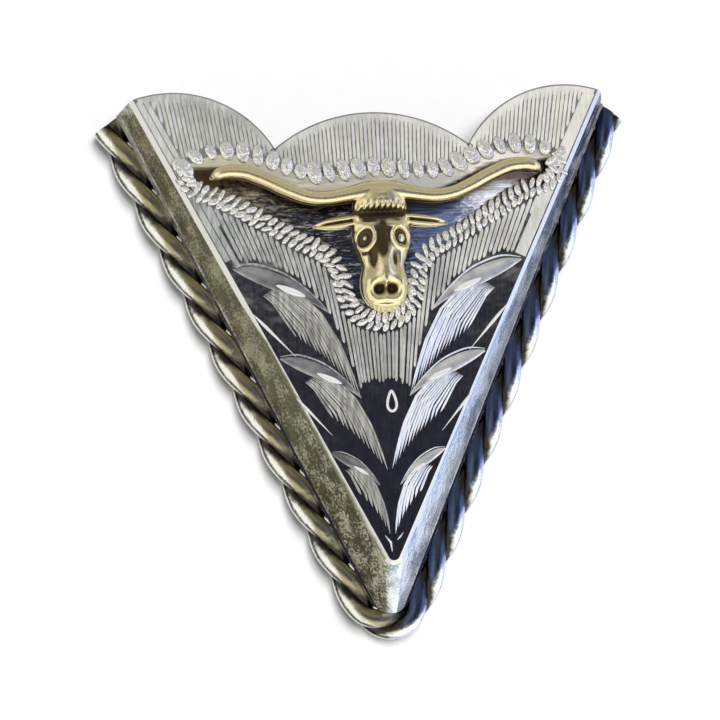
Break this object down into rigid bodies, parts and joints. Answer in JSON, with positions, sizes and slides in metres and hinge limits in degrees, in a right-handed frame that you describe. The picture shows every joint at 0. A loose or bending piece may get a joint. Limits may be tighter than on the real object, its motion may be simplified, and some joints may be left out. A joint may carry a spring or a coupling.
{
  "type": "collar tip",
  "caption": "Western collar tip: bevelled, engraved metal point with a twisted rope edge, a scalloped top and a gold longhorn head, hollow for a shirt collar's point",
  "frame": {"origin": "on the surface that the tip lies on, under the middle of its outline", "axes": "+Z out of the engraved face, +Y toward the scalloped edge, so the point is toward -Y, and +X to the right seen from the front"},
  "size_m": [0.0409, 0.0412, 0.006],
  "materials": {
    "silver": "polished and engraved, with a matted bevel",
    "gold": "polished gold plate over cast metal",
    "back_silver": "plain, lightly brushed",
    "steel": "plain turned"
  },
  "bodies": {
    "root": {"front_shell": "silver", "longhorn_head": "gold", "back_plate": "back_silver", "clamp_screw": "steel"}
  },
  "joints": []
}
